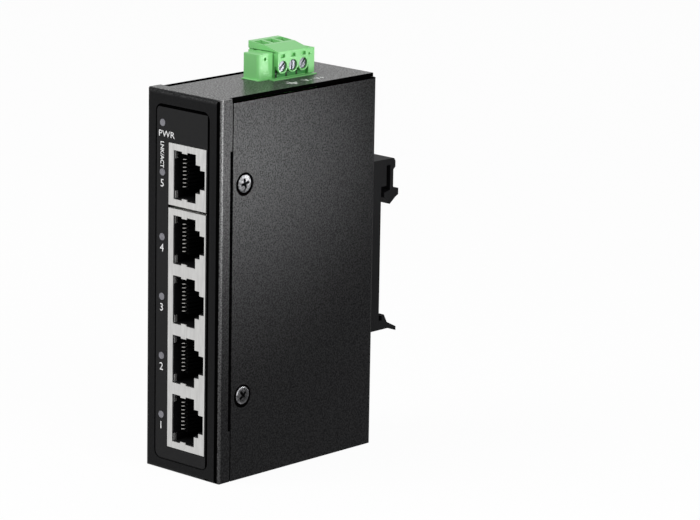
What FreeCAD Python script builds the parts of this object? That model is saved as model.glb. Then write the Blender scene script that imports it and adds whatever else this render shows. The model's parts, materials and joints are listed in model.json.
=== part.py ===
import FreeCAD, Part
import Sketcher
import math
import os
import re

# Five-port DIN rail Ethernet switch in a folded steel case, as separate sub-parts.
#
# Frame: millimetres, +Z up, port face towards -Y, rail clip towards +Y.
# The origin is the middle of the footprint, on the surface that the case stands on.
# Places in the formulas are measured from the port face; place() moves them all to the origin.

os.makedirs("parts", exist_ok=True)
doc = FreeCAD.newDocument("RailSwitch")

SIZES = {
    # folded steel case: a front tray and a wrap-round cover
    "CaseWidth": 26.2,
    "CaseDepth": 58.0,
    "CaseHeight": 100.0,
    "SheetWall": 1.0,
    "FoldRadius": 1.2,
    "StripDepth": 4.75,
    "SeamGap": 0.35,
    "ReliefGap": 0.7,
    "PlateInset": 1.25,
    "PlateBackInset": 0.3,
    "CoverDrop": 1.1,
    "TabHeight": 72.4,
    "TabReach": 15.0,
    # cover screws and the nuts behind them
    "CaseScrewDepth": 9.7,
    "CaseScrewRise": 27.5,
    "CaseScrewDrop": 28.0,
    "CaseScrewHead": 2.3,
    "CaseScrewShank": 1.4,
    "BladeHalf": 0.32,
    "BladeReach": 0.62,
    "RecessFloor": 0.8,
    "DimpleRim": 0.4,
    "SeatClear": 0.05,
    "HoleClear": 0.2,
    "NutAcross": 6.3,
    "NutLength": 1.2,
    "ScrewLength": 2.8,
    # printed front label in its shallow pressed recess
    "LabelHalfWidth": 9.75,
    "LabelBottom": 2.9,
    "LabelTopGap": 3.5,
    "LabelRadius": 2.2,
    "LabelThickness": 0.2,
    "RecessDepth": 0.3,
    "LabelGap": 0.35,
    # jack blocks
    "JackMiddle": 1.8,
    "JackFace": 13.5,
    "JackHeight": 16.1,
    "JackDepth": 15.5,
    "JackWall": 0.3,
    "JackClear": 0.2,
    "PortPitch": 15.7,
    "SinglePortRise": 28.75,
    "GangDrop": 11.7,
    # outline of one port, from the middle of its jack
    "PortContactSide": 4.95,
    "PortLatchSide": 3.07,
    "PortHalf": 6.35,
    "StepReach": 4.65,
    "StepHalf": 3.67,
    "NotchReach": 6.3,
    "NotchHalf": 2.47,
    "SpringFingerDepth": 0.45,
    "SpringFingerNear": 0.05,
    "SpringFingerFar": 1.95,
    "PlasticLip": 0.25,
    "CavityDepth": 11.5,
    # contact wires
    "ContactPitch": 1.02,
    "ContactWidth": 0.45,
    "ContactThickness": 0.3,
    "ContactFront": 2.9,
    "ContactTip": 9.2,
    "ContactRise": 2.3,
    # lamps and light pipes
    "LampAside": 2.35,
    "PipeRadius": 0.92,
    "PipeLength": 3.4,
    "LampGap": 0.2,
    "PowerLampDrop": 8.4,
    "LampSize": 1.5,
    "LampLength": 2.0,
    "PipeClear": 0.05,
    # main board and what it carries
    "BoardThickness": 1.6,
    "BoardFront": 3.5,
    "BoardDepth": 48.0,
    "BoardBottom": 4.0,
    "BoardTopGap": 4.5,
    "BoardHoleInset": 3.5,
    "BoardHoleFront": 16.5,
    "BoardHoleLow": 24.5,
    "StandoffAcross": 5.8,
    "BoardScrewHead": 2.4,
    "BoardScrewRadius": 1.25,
    "BoardScrewHeadHeight": 1.6,
    "LeadReach": 1.0,
    "LeadHalf": 0.27,
    "LeadThickness": 0.5,
    "ChipLift": 0.1,
    "ChipDepth": 31.0,
    "ChipDrop": 3.0,
    "ChipSide": 14.0,
    "ChipThickness": 1.5,
    "ConverterDepth": 27.0,
    "ConverterHeight": 23.0,
    "ConverterAcross": 4.0,
    "ConverterAlong": 5.0,
    "ConverterThickness": 1.6,
    "CoilGap": 2.0,
    "CoilAcross": 7.0,
    "CoilLength": 9.5,
    "CoilRise": 3.8,
    "CanDepth": 41.0,
    "CanHeight": 22.0,
    "CanRadius": 4.0,
    "CanLength": 10.0,
    "ChokeDepth": 27.0,
    "ChokeHeight": 12.5,
    "ChokeSide": 6.5,
    "ChokeRise": 3.2,
    "CrystalDepth": 29.0,
    "CrystalDrop": 27.0,
    "CrystalRise": 3.5,
    "CrystalAcross": 4.6,
    "CrystalLength": 11.2,
    # power header and its plug
    "PolePitch": 3.81,
    "FirstPole": 33.45,
    "HeaderRight": 3.1,
    "HeaderFront": 29.7,
    "HeaderBack": 45.5,
    "HeaderDrop": 12.0,
    "HeaderWell": 9.5,
    "HeaderRim": 0.25,
    "HeaderWall": 0.85,
    "BlockLeft": 4.6,
    "BlockRight": 0.7,
    "BlockFront": 26.3,
    "BlockBack": 31.5,
    "BlockRise": 6.9,
    "BlockRadius": 0.9,
    "BlockHoleRadius": 0.4,
    "BlockHoleDrop": 1.45,
    "BlockRim": 0.4,
    "HeaderClear": 0.15,
    "PinSize": 0.8,
    "PinMiddle": 1.0,
    "PinTopDrop": 2.5,
    "PinTail": 1.2,
    "PlugClear": 0.1,
    "PlugLeft": 8.3,
    "PlugRight": 2.5,
    "PlugFront": 31.7,
    "PlugBack": 42.7,
    "PlugTail": 2.45,
    "PlugLift": 0.5,
    "PlugTop": 8.9,
    "RidgeSide": 2.1,
    "RidgeTop": 8.4,
    "ScrewFaceTop": 7.2,
    "TailLeft": 6.2,
    "TailTop": 7.0,
    "ClampHeight": 3.28,
    "ClampHeadRadius": 1.35,
    "ClampHoleRadius": 1.5,
    "ClampHeadDepth": 0.45,
    "ClampHeadLength": 1.3,
    "ClampShankRadius": 0.8,
    "ClampSlotHalf": 0.2,
    "ClampSlotDepth": 0.5,
    "ChannelEnd": 0.5,
    "LobeRadius": 1.9,
    "FootRecess": 1.1,
    "EntryLeft": 6.8,
    "EntryRight": 3.1,
    "EntryHalf": 1.45,
    "EntryFloor": 1.6,
    "SlotDrop": 0.8,
    "SlotHalf": 0.55,
    "SocketNear": 1.0,
    "SocketFar": 0.6,
    "NotchBottom": 5.5,
    "NotchTop": 6.4,
    "NotchDepth": 0.8,
    "NotchNear": 0.7,
    "NotchFar": 0.8,
    "TailNotch": 0.9,
    "TailMark": 0.5,
    "TailMarkRadius": 0.35,
    "FootMarkBottom": 0.95,
    "GrooveWidth": 0.35,
    "GrooveHeight": 0.45,
    "StripDrop": 0.7,
    "StripHook": 2.5,
    "CageHeight": 3.0,
    "CageWall": 0.4,
    "CageClear": 0.1,
    # rail clip, across the back of the case
    "ClipWidth": 23.0,
    "ClipReach": 10.7,
    "ClipPlate": 4.0,
    "RailHalf": 17.5,
    "RailLip": 1.2,
    "RailClear": 0.2,
    "ClipTop": 26.0,
    "ClipBottom": 20.2,
    "LegInner": 6.0,
    "LegSlotWidth": 1.45,
    "LegOuter": 8.65,
    "CrownWall": 1.7,
    "CrownRadius": 0.8,
    "SeatRise": 1.1,
    "BeadEase": 0.25,
    "BeadReach": 0.75,
    "BeadTop": 0.95,
    "BeadBottom": 2.5,
    "BeadRoot": 3.1,
    "BarbRoot": 0.3,
    "BarbTop": 0.1,
    "BarbBottom": 1.8,
    "BarbStep": 0.9,
    "BarbUnder": 2.4,
    "BarbFoot": 4.0,
    "HookRoot": 0.2,
    "HookTop": 0.7,
    "HookFoot": 2.0,
    "LatchRise": 1.2,
    "LatchEase": 0.8,
    "LatchNose": 1.5,
    "LatchReach": 2.0,
    "LatchSlope": 0.75,
    "ReleaseTop": 2.5,
    "ReleaseBottom": 3.6,
    "ReleaseSlope": 3.2,
    "ClipScrewSpacing": 17.0,
    "ClipScrewHead": 2.75,
    "ClipScrewShank": 1.45,
    "ClipScrewLength": 7.0,
    "ClipScrewSunk": 0.2,
}

sheet = doc.addObject("Spreadsheet::Sheet", "Sizes")
for row, (alias, size) in enumerate(SIZES.items(), start=1):
    sheet.set(f"A{row}", alias)
    sheet.set(f"B{row}", str(size))
    sheet.setAlias(f"B{row}", alias)
doc.recompute()

TURN = {
    "x": FreeCAD.Rotation(FreeCAD.Vector(0, 1, 0), 90),
    "y": FreeCAD.Rotation(FreeCAD.Vector(1, 0, 0), -90),
    "z": FreeCAD.Rotation(),
}
finished = []


# ---- building helpers ----

def bind(item, prop, text):
    """Ties a property to a formula; every capitalised word in it is a cell of the sheet."""
    item.setExpression(prop, re.sub(r"\b[A-Z]\w+", lambda found: "Sizes." + found.group(), str(text)))


def put(item, at):
    for axis, text in zip("xyz", at):
        bind(item, f"Placement.Base.{axis}", text)


def place(item, label):
    """Names a finished sub-part and moves it from the port-face frame to the origin."""
    item.Label = label
    bind(item, "Placement.Base.y", "-(CaseDepth + ClipReach) / 2")
    finished.append(item)
    return item


def solid(kind, name, at, turn="z", **sizes):
    """A Part primitive with its sizes and its place bound to formulas."""
    item = doc.addObject("Part::" + kind, name)
    item.Placement.Rotation = TURN[turn]
    for prop, text in sizes.items():
        bind(item, prop, text)
    put(item, at)
    return item


def box(name, low, high):
    """A box between two corners, each given as three formulas."""
    spans = [f"({b}) - ({a})" for a, b in zip(low, high)]
    return solid("Box", name, low, Length=spans[0], Width=spans[1], Height=spans[2])


def rod(name, turn, at, radius, length):
    return solid("Cylinder", name, at, turn, Radius=radius, Height=length)


def cone(name, turn, at, start, end, length):
    return solid("Cone", name, at, turn, Radius1=start, Radius2=end, Height=length)


def hexagon(name, turn, at, across, length):
    """A hexagonal bar; across is the distance between opposite corners."""
    item = solid("Prism", name, at, turn, Circumradius=f"{across} / 2", Height=length)
    item.Polygon = 6
    return item


def cut(name, base, tools):
    item = doc.addObject("Part::Cut", name)
    item.Base = base
    item.Tool = tools[0] if len(tools) == 1 else fuse(name + "Tools", tools)
    return item


def fuse(name, shapes):
    item = doc.addObject("Part::MultiFuse", name)
    item.Shapes = shapes
    return item


def group(name, shapes):
    item = doc.addObject("Part::Compound", name)
    item.Links = shapes
    return item


def outline(sketch, corners):
    """Draws a closed outline whose corners are pairs of formulas, each tied to the sketch origin."""
    count = len(corners)
    ring = [FreeCAD.Vector(math.cos(math.tau * k / count), math.sin(math.tau * k / count), 0)
            for k in range(count)]
    for k in range(count):
        sketch.addGeometry(Part.LineSegment(ring[k], ring[(k + 1) % count]), False)
    for k in range(count):
        sketch.addConstraint(Sketcher.Constraint("Coincident", k, 2, (k + 1) % count, 1))
    for k, corner in enumerate(corners):
        for kind, text, start in (("DistanceX", corner[0], ring[k].x), ("DistanceY", corner[1], ring[k].y)):
            number = sketch.addConstraint(Sketcher.Constraint(kind, -1, 1, k, 1, start))
            bind(sketch, f"Constraints[{number}]", text)


def body(name):
    return doc.addObject("PartDesign::Body", name)


def pad(item, name, role, start, length, corners):
    """Pads a closed outline in the body, from start and over length along the plane's own axis."""
    backwards = role == "XZ_Plane"
    sketch = item.newObject("Sketcher::SketchObject", name + "Outline")
    plane = next(feature for feature in item.Origin.OriginFeatures if feature.Role == role)
    sketch.AttachmentSupport = [(plane, "")]
    sketch.MapMode = "FlatFace"
    bind(sketch, "AttachmentOffset.Base.z", f"-({start})" if backwards else start)
    outline(sketch, corners)
    feature = item.newObject("PartDesign::Pad", name)
    feature.Profile = sketch
    feature.Reversed = backwards
    bind(feature, "Length", length)
    doc.recompute()
    return feature


def fillet(item, name, base, radius, wanted):
    """Rounds the edges of the base feature that the test picks."""
    edges = [f"Edge{k}" for k, edge in enumerate(base.Shape.Edges, start=1) if wanted(edge)]
    feature = item.newObject("PartDesign::Fillet", name)
    feature.Base = (base, edges)
    bind(feature, "Radius", radius)
    doc.recompute()
    return feature


def runs_along(edge, axis):
    """True for a straight edge that is parallel to the axis."""
    span = edge.lastVertex().Point - edge.firstVertex().Point
    return span.Length > 0 and abs(getattr(span, axis)) > 0.999 * span.Length


def rectangle(left, right, low, high):
    return [(left, low), (right, low), (right, high), (left, high)]


def prism(name, sketch, direction, length, at):
    """Extrudes a flat sketch and puts the result in its place."""
    item = doc.addObject("Part::Extrusion", name)
    item.Base = sketch
    item.DirMode = "Custom"
    item.Dir = direction
    item.Solid = True
    bind(item, "LengthFwd", length)
    put(item, at)
    return item


def flat_sketch(name, corners, upright=False):
    """A sketch in the XY plane, or upright in the XZ plane."""
    sketch = doc.addObject("Sketcher::SketchObject", name)
    if upright:
        sketch.Placement.Rotation = FreeCAD.Rotation(FreeCAD.Vector(1, 0, 0), 90)
    outline(sketch, corners)
    return sketch


# places that several sub-parts share, as formulas
HALF = "CaseWidth / 2"
INNER = "(CaseWidth / 2 - SheetWall)"
MIDDLE = "(CaseHeight / 2)"
BOARD_FACE = "(JackMiddle - JackFace / 2)"
BOARD_BACK = "(JackMiddle - JackFace / 2 - BoardThickness)"
BOARD_TOP = "(CaseHeight - BoardTopGap)"
LAMP_ACROSS = "(JackMiddle - JackFace / 2 - LampAside)"
SINGLE_PORT = "(CaseHeight / 2 + SinglePortRise)"
GANG_MIDDLE = "(CaseHeight / 2 - GangDrop)"
GANG_PORTS = [f"({GANG_MIDDLE} + PortPitch * {step})" for step in (-1.5, -0.5, 0.5, 1.5)]
PORTS = GANG_PORTS + [SINGLE_PORT]
LAMPS = PORTS + ["(CaseHeight - PowerLampDrop)"]
HEADER_BOTTOM = "(CaseHeight - HeaderDrop)"
HEADER_FLOOR = "(CaseHeight - HeaderWell)"
PIN_TOP = "(CaseHeight - PinTopDrop)"
POLES = [f"(FirstPole + PolePitch * {step})" for step in range(3)]
SCREW_HEIGHTS = (f"({MIDDLE} + CaseScrewRise)", f"({MIDDLE} - CaseScrewDrop)")
CASE_SCREWS = [(side, height) for side in (1, -1) for height in SCREW_HEIGHTS]
CLIP_SCREWS = [f"({MIDDLE} + ClipScrewSpacing * {step})" for step in (0.5, -0.5)]
BOARD_HOLES = [("BoardHoleLow", "(BoardBottom + BoardHoleInset)"),
               ("BoardHoleFront", f"({BOARD_TOP} - BoardHoleInset)"),
               ("(BoardDepth - BoardHoleInset)", MIDDLE)]


def case_screw_space(side, height, name):
    """The dimple and hole of one cover screw, whose head sits below the surface."""
    head = "CaseScrewHead + DimpleRim + SeatClear"
    shank = "CaseScrewShank + SeatClear"
    surface = f"{side} * CaseWidth / 2"
    sink = "CaseScrewHead + DimpleRim - CaseScrewShank"
    at = (surface, "CaseScrewDepth", height)
    inward = f"{surface} - ({sink})"
    far = f"{surface} - ScrewLength - SheetWall"
    if side > 0:
        return [cone(name + "Sink", "x", (inward,) + at[1:], shank, head, sink),
                rod(name + "Bore", "x", (far,) + at[1:], shank, "ScrewLength + SheetWall")]
    return [cone(name + "Sink", "x", at, head, shank, sink),
            rod(name + "Bore", "x", at, shank, "ScrewLength + SheetWall")]


def face_windows(name):
    """The jacks' window and the lamp holes, through whatever lies at the port face."""
    low = f"{GANG_PORTS[0]} - JackHeight / 2 - JackClear"
    high = f"{SINGLE_PORT} + JackHeight / 2 + JackClear"
    right = "JackMiddle + JackFace / 2 + JackClear"
    windows = [box(name + "Ports", (f"{BOARD_FACE} - JackClear", "-1", low), (right, "2 * SheetWall", high))]
    for number, height in enumerate(LAMPS):
        windows.append(rod(f"{name}Lamp{number}", "y", (LAMP_ACROSS, "-1", height),
                           "PipeRadius + PipeClear", "2 * SheetWall + 1"))
    return windows


# ---- the folded case ----

def front_tray():
    item = body("TrayBlank")
    blank = pad(item, "TrayBlock", "XY_Plane", "0", "CaseHeight",
                rectangle(f"-{HALF}", HALF, "0", "CaseDepth - PlateBackInset"))
    fillet(item, "TrayFolds", blank, "FoldRadius",
           lambda edge: abs(edge.CenterOfMass.y) < 0.01)
    inside = box("TrayInside", (f"-{INNER}", "SheetWall", "SheetWall"),
                 (INNER, "CaseDepth + 1", "CaseHeight - SheetWall"))
    inset = f"({HALF} - PlateInset)"
    behind = [box("PlateSideRight", (inset, "StripDepth", "-1"),
                  (f"{HALF} + 1", "CaseDepth + 1", "CaseHeight + 1")),
              box("PlateSideLeft", (f"-{HALF} - 1", "StripDepth", "-1"),
                  (f"-{inset}", "CaseDepth + 1", "CaseHeight + 1")),
              box("FloorEnd", (f"-{HALF}", "CaseDepth - SheetWall - SeamGap", "-1"),
                  (HALF, "CaseDepth + 1", "2 * SheetWall"))]
    shell = cut("TrayShell", item, [inside] + behind)
    tab_low = "CaseHeight / 2 - TabHeight / 2"
    tab_high = "CaseHeight / 2 + TabHeight / 2"
    relief_front = "StripDepth - ReliefGap"
    relief_low = f"{tab_low} - SeamGap"
    relief_high = f"{tab_high} + SeamGap"
    reliefs = [box("ReliefRight", (INNER, relief_front, relief_low),
                   (f"{HALF} + 1", "StripDepth + 1", relief_high)),
               box("ReliefLeft", (f"-{HALF} - 1", relief_front, relief_low),
                   (f"-{INNER}", "StripDepth + 1", relief_high))]
    tabs = [box("TabRight", (f"{INNER} - SheetWall", "2 * SheetWall", tab_low),
                (INNER, "TabReach", tab_high)),
            box("TabLeft", (f"-{INNER}", "2 * SheetWall", tab_low),
                (f"-{INNER} + SheetWall", "TabReach", tab_high))]
    folded = fuse("TrayFolded", [cut("TrayRelieved", shell, reliefs)] + tabs)
    openings = []
    for number, (side, height) in enumerate(CASE_SCREWS):
        openings += case_screw_space(side, height, f"TrayScrew{number}")
    openings += face_windows("Tray")
    openings.append(label_plate("RecessPlate", "RecessDepth", "0"))
    openings.append(box("HeaderWindow", (f"{BOARD_FACE} - HeaderClear", "HeaderFront - HeaderClear",
                                         "CaseHeight - 2 * SheetWall"),
                        ("HeaderRight + HeaderClear", "HeaderBack + HeaderClear", "CaseHeight + 1")))
    openings.append(box("BlockWindow", ("-BlockLeft - HeaderClear", "BlockFront - HeaderClear",
                                        "CaseHeight - 2 * SheetWall"),
                        ("BlockRight + HeaderClear", "HeaderFront", "CaseHeight + 1")))
    return place(cut("FrontTray", folded, openings), "front_tray")


def label_plate(name, thickness, gap):
    """The rounded plate of the label, from the port face inwards; gap makes it smaller all round."""
    item = body(name)
    plate = pad(item, name + "Block", "XZ_Plane", "0", thickness,
                rectangle(f"-LabelHalfWidth + {gap}", f"LabelHalfWidth - {gap}",
                          f"LabelBottom + {gap}", f"CaseHeight - LabelTopGap - {gap}"))
    fillet(item, name + "Corners", plate, f"LabelRadius - {gap}", lambda edge: runs_along(edge, "y"))
    return item


def front_label():
    blank = label_plate("LabelPlate", "LabelThickness", "LabelGap")
    bind(blank, "Placement.Base.y", "RecessDepth - LabelThickness")
    return place(cut("FrontLabel", blank, face_windows("Label")), "front_label")


def wrap_cover():
    item = body("CoverBlank")
    start = "StripDepth + SeamGap"
    blank = pad(item, "CoverBlock", "XY_Plane", "0", "CaseHeight - CoverDrop",
                rectangle(f"-{HALF}", HALF, start, "CaseDepth"))
    back = blank.Shape.BoundBox.YMax
    fillet(item, "CoverFolds", blank, "FoldRadius",
           lambda edge: runs_along(edge, "z") and abs(edge.CenterOfMass.y - back) < 0.01)
    openings = [box("CoverInside", (f"-{INNER}", "0", "-1"),
                    (INNER, "CaseDepth - SheetWall", "CaseHeight"))]
    for number, (side, height) in enumerate(CASE_SCREWS):
        openings += case_screw_space(side, height, f"CoverScrew{number}")
    for number, height in enumerate(CLIP_SCREWS):
        openings.append(rod(f"CoverClipHole{number}", "y", ("0", "CaseDepth - 2 * SheetWall", height),
                            "ClipScrewShank + HoleClear", "3 * SheetWall"))
    return place(cut("WrapCover", item, openings), "wrap_cover")


def cross_slots(name, middle, radius, depth, turn):
    """Two crossed blades that cut a cross recess into a screw head from its outer face."""
    blade = "BladeHalf"
    reach = f"BladeReach * {radius}"
    x, y, z = middle
    if turn == "x":
        return [box(name + "A", (f"{x} - {depth}", f"{y} - {reach}", f"{z} - {blade}"),
                    (f"{x} + {depth}", f"{y} + {reach}", f"{z} + {blade}")),
                box(name + "B", (f"{x} - {depth}", f"{y} - {blade}", f"{z} - {reach}"),
                    (f"{x} + {depth}", f"{y} + {blade}", f"{z} + {reach}"))]
    return [box(name + "A", (f"{x} - {reach}", f"{y} - {depth}", f"{z} - {blade}"),
                (f"{x} + {reach}", f"{y} + {depth}", f"{z} + {blade}")),
            box(name + "B", (f"{x} - {blade}", f"{y} - {depth}", f"{z} - {reach}"),
                (f"{x} + {blade}", f"{y} + {depth}", f"{z} + {reach}"))]


def case_screws():
    screws = []
    for number, (side, height) in enumerate(CASE_SCREWS):
        name = f"CaseScrew{number}"
        sunk = f"{side} * (CaseWidth / 2 - DimpleRim)"
        sink = "(CaseScrewHead - CaseScrewShank)"
        at = ("CaseScrewDepth", height)
        if side > 0:
            starts = (f"{sunk} - {sink}", f"{sunk} - ScrewLength")
            radii = ("CaseScrewShank", "CaseScrewHead")
        else:
            starts = (sunk, f"{sunk} + RecessFloor")
            radii = ("CaseScrewHead", "CaseScrewShank")
        head = cone(name + "Head", "x", (starts[0],) + at, radii[0], radii[1], sink)
        shank = rod(name + "Shank", "x", (starts[1],) + at, "CaseScrewShank", "ScrewLength - RecessFloor")
        slots = cross_slots(name + "Slot", (sunk,) + at, "CaseScrewHead", "RecessFloor", "x")
        screws.append(cut(name, fuse(name + "Blank", [head, shank]), slots))
    return place(group("CaseScrews", screws), "case_screws")


def case_nuts():
    nuts = []
    for number, (side, height) in enumerate(CASE_SCREWS):
        face = f"{side} * ({INNER} - SheetWall)"
        start = f"{face} - NutLength" if side > 0 else face
        nut = hexagon(f"CaseNut{number}", "x", (start, "CaseScrewDepth", height), "NutAcross", "NutLength")
        bore = rod(f"CaseNutBore{number}", "x", (f"{start} - 1", "CaseScrewDepth", height),
                   "CaseScrewShank + PipeClear", "NutLength + 2")
        nuts.append(cut(f"CaseNutRing{number}", nut, [bore]))
    return place(group("CaseNuts", nuts), "case_nuts")


# ---- jacks ----

def port_outline(name, lip):
    """Outline of one port with its latch step and notch; lip draws it in for the plastic."""
    left = f"-(PortContactSide - {lip})"
    right = f"PortLatchSide - {lip}"
    half = f"(PortHalf - {lip})"
    step = f"StepReach - {lip}"
    notch = f"NotchReach - {lip}"
    step_half = f"(StepHalf - {lip})"
    notch_half = f"(NotchHalf - {lip})"
    finger = f"({half} - SpringFingerDepth)"
    corners = [(left, f"-{half}"), ("-SpringFingerFar", f"-{half}"), ("-SpringFingerFar", f"-{finger}"),
               ("-SpringFingerNear", f"-{finger}"), ("-SpringFingerNear", f"-{half}"), (right, f"-{half}"),
               (right, f"-{step_half}"), (step, f"-{step_half}"), (step, f"-{notch_half}"),
               (notch, f"-{notch_half}")]
    if lip != "0":
        corners = [(left, f"-{half}"), (right, f"-{half}"), (right, f"-{step_half}"), (step, f"-{step_half}"),
                   (step, f"-{notch_half}"), (notch, f"-{notch_half}")]
    mirrored = [(u, v[1:]) for u, v in reversed(corners)]
    return flat_sketch(name, corners + mirrored, upright=True)


def jack_block(prefix, ports, middle, height):
    """A shielded jack block: sheet shell, moulded housing and its contact wires."""
    low = f"{middle} - {height} / 2"
    high = f"{middle} + {height} / 2"
    right = "JackMiddle + JackFace / 2"
    shell_blank = box(prefix + "ShellBlock", (BOARD_FACE, "0", low), (right, "JackDepth", high))
    hollow = [box(prefix + "ShellInside", (f"{BOARD_FACE} - 1", "JackWall", f"{low} + JackWall"),
                  (f"{right} - JackWall", "JackDepth + 1", f"{high} - JackWall"))]
    housing_blank = box(prefix + "HousingBlock", (BOARD_FACE, "JackWall", f"{low} + JackWall"),
                        (f"{right} - JackWall", "JackDepth", f"{high} - JackWall"))
    shell_port = port_outline(prefix + "ShellPort", "0")
    housing_port = port_outline(prefix + "HousingPort", "PlasticLip")
    inward = FreeCAD.Vector(0, 1, 0)
    cavities = []
    for number, port in enumerate(ports):
        hollow.append(prism(f"{prefix}ShellHole{number}", shell_port, inward, "2 * JackWall",
                            ("JackMiddle", "-JackWall / 2", port)))
        cavities.append(prism(f"{prefix}Cavity{number}", housing_port, inward, "CavityDepth",
                              ("JackMiddle", "0", port)))
    place(cut(prefix + "Shell", shell_blank, hollow), prefix + "_jack_shell")
    place(cut(prefix + "Housing", housing_blank, cavities), prefix + "_jack_housing")
    contacts = contact_wires(prefix, ports)
    place(contacts, prefix + "_jack_contacts")


def contact_wires(prefix, ports):
    wall = "(JackMiddle - PortContactSide + PlasticLip)"
    slope = "(ContactTip - ContactFront)"
    turn_in = f"(ContactFront + ContactThickness * (sqrt(ContactRise^2 + {slope}^2) + {slope}) / ContactRise)"
    wire = flat_sketch(prefix + "Wire", [
        (wall, "CavityDepth"),
        (wall, "ContactFront"),
        (f"{wall} + ContactRise", "ContactTip"),
        (f"{wall} + ContactRise - ContactThickness", "ContactTip + ContactThickness / 2"),
        (f"{wall} + ContactThickness", turn_in),
        (f"{wall} + ContactThickness", "CavityDepth"),
    ])
    wires = []
    for number, port in enumerate(ports):
        for step in range(8):
            low = f"{port} + ContactPitch * {step - 3.5} - ContactWidth / 2"
            wires.append(prism(f"{prefix}Wire{number}x{step}", wire, FreeCAD.Vector(0, 0, 1),
                               "ContactWidth", ("0", "0", low)))
    return group(prefix + "Wires", wires)


# ---- lamps ----

def light_pipes():
    pipes = []
    for number, height in enumerate(LAMPS):
        pipes.append(rod(f"Pipe{number}", "y", (LAMP_ACROSS, "0", height), "PipeRadius", "PipeLength"))
    return place(group("LightPipes", pipes), "light_pipes")


def lamp_chips():
    chips = []
    for number, height in enumerate(LAMPS):
        chips.append(box(f"LampChip{number}",
                         (f"{BOARD_BACK} - LampSize", "PipeLength + LampGap", f"{height} - LampSize / 2"),
                         (BOARD_BACK, "PipeLength + LampGap + LampLength", f"{height} + LampSize / 2")))
    return place(group("LampChips", chips), "lamp_chips")


# ---- main board ----

def main_board():
    blank = box("BoardBlank", (BOARD_BACK, "BoardFront", "BoardBottom"),
                (BOARD_FACE, "BoardFront + BoardDepth", BOARD_TOP))
    holes = []
    for number, (depth, height) in enumerate(BOARD_HOLES):
        holes.append(rod(f"BoardHole{number}", "x", (f"{BOARD_BACK} - 1", f"BoardFront + {depth}", height),
                         "BoardScrewRadius + HoleClear", "BoardThickness + 2"))
    for number, pole in enumerate(POLES):
        holes.append(box(f"BoardPinHole{number}",
                         (f"{BOARD_BACK} - 1", f"{pole} - PinSize / 2", f"{HEADER_BOTTOM} + PinSize"),
                         (f"{BOARD_FACE} + 1", f"{pole} + PinSize / 2", f"{HEADER_BOTTOM} + 2 * PinSize")))
    return place(cut("MainBoard", blank, holes), "main_board")


def board_standoffs():
    posts = []
    for number, (depth, height) in enumerate(BOARD_HOLES):
        at = (f"-{INNER}", f"BoardFront + {depth}", height)
        post = hexagon(f"Post{number}", "x", at, "StandoffAcross", f"{BOARD_BACK} + {INNER}")
        bore = rod(f"PostBore{number}", "x", (f"-{INNER} + SheetWall",) + at[1:],
                   "BoardScrewRadius + PipeClear", f"{BOARD_BACK} + {INNER}")
        posts.append(cut(f"PostTube{number}", post, [bore]))
    return place(group("Standoffs", posts), "board_standoffs")


def board_screws():
    screws = []
    for number, (depth, height) in enumerate(BOARD_HOLES):
        at = (BOARD_FACE, f"BoardFront + {depth}", height)
        head = rod(f"BoardHead{number}", "x", at, "BoardScrewHead", "BoardScrewHeadHeight")
        shank = rod(f"BoardShank{number}", "x", (f"{BOARD_BACK} - 2 * SheetWall",) + at[1:],
                    "BoardScrewRadius", "BoardThickness + 2 * SheetWall + BoardScrewHeadHeight / 2")
        face = (f"{BOARD_FACE} + BoardScrewHeadHeight",) + at[1:]
        slots = cross_slots(f"BoardSlot{number}", face, "BoardScrewHead", "RecessFloor", "x")
        screws.append(cut(f"BoardScrew{number}", fuse(f"BoardScrewBlank{number}", [head, shank]), slots))
    return place(group("BoardScrews", screws), "board_screws")


def surface_chip(name, label, middle, across, along, rise, pins):
    """A moulded chip on the board with a row of leads along both long sides."""
    depth, height = middle
    low = (f"{BOARD_FACE} + ChipLift", f"{depth} - {across} / 2", f"{height} - {along} / 2")
    high = (f"{BOARD_FACE} + {rise}", f"{depth} + {across} / 2", f"{height} + {along} / 2")
    pieces = [box(name + "Body", low, high)]
    for step in range(pins):
        lead = f"({height} + {along} * {(step + 0.5) / pins - 0.5})"
        for number, edge in enumerate((-1, 1)):
            inner = f"{depth} + {edge} * {across} / 2"
            outer = f"{inner} + {edge} * LeadReach"
            near, far = (outer, inner) if edge < 0 else (inner, outer)
            pieces.append(box(f"{name}Lead{step}x{number}", (BOARD_FACE, near, f"{lead} - LeadHalf"),
                              (f"{BOARD_FACE} + LeadThickness", far, f"{lead} + LeadHalf")))
    return place(fuse(name, pieces), label)


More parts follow.
